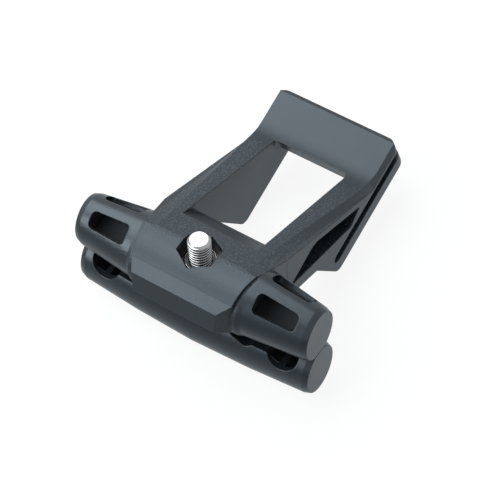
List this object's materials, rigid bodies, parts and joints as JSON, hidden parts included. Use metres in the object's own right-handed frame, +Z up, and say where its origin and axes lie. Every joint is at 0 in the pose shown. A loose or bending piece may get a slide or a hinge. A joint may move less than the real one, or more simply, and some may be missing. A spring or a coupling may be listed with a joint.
{
  "type": "saddle bag mount",
  "caption": "Saddle rail clamp with two barrel bars drawn together by a screw, and a slide-on bag plate on a wedge frame behind it",
  "frame": {"origin": "on the screw's axis at the height where the two bars part, 1 mm above the saddle rails' centre lines", "axes": "+X along the bars, +Y from the bars towards the bag plate, +Z up the screw"},
  "size_m": [0.0564, 0.066, 0.0325],
  "materials": {
    "black_plastic": "fine-grained glass-filled nylon with a dull sheen",
    "bright_steel": "bright zinc-plated steel",
    "nylon": "off-white nylon ring"
  },
  "bodies": {
    "frame": {"mount_body": "black_plastic", "lock_nut": "bright_steel", "nut_insert": "nylon"},
    "clamp": {"lower_clamp": "black_plastic"},
    "screw": {"clamp_bolt": "bright_steel"}
  },
  "joints": [
    {"name": "clamp_slide", "type": "slide", "parent": "frame", "child": "clamp", "axis": [0, 0, -1], "range_m": [0, 0.0064]},
    {"name": "screw_turn", "type": "hinge", "parent": "clamp", "child": "screw", "pos_m": [0, 0, 0], "axis": [0, 0, 1], "range_deg": [0, 2880]}
  ],
  "couplings": [
    {"joint": "screw_turn", "follows": "clamp_slide", "rad_per_m": 7854}
  ]
}
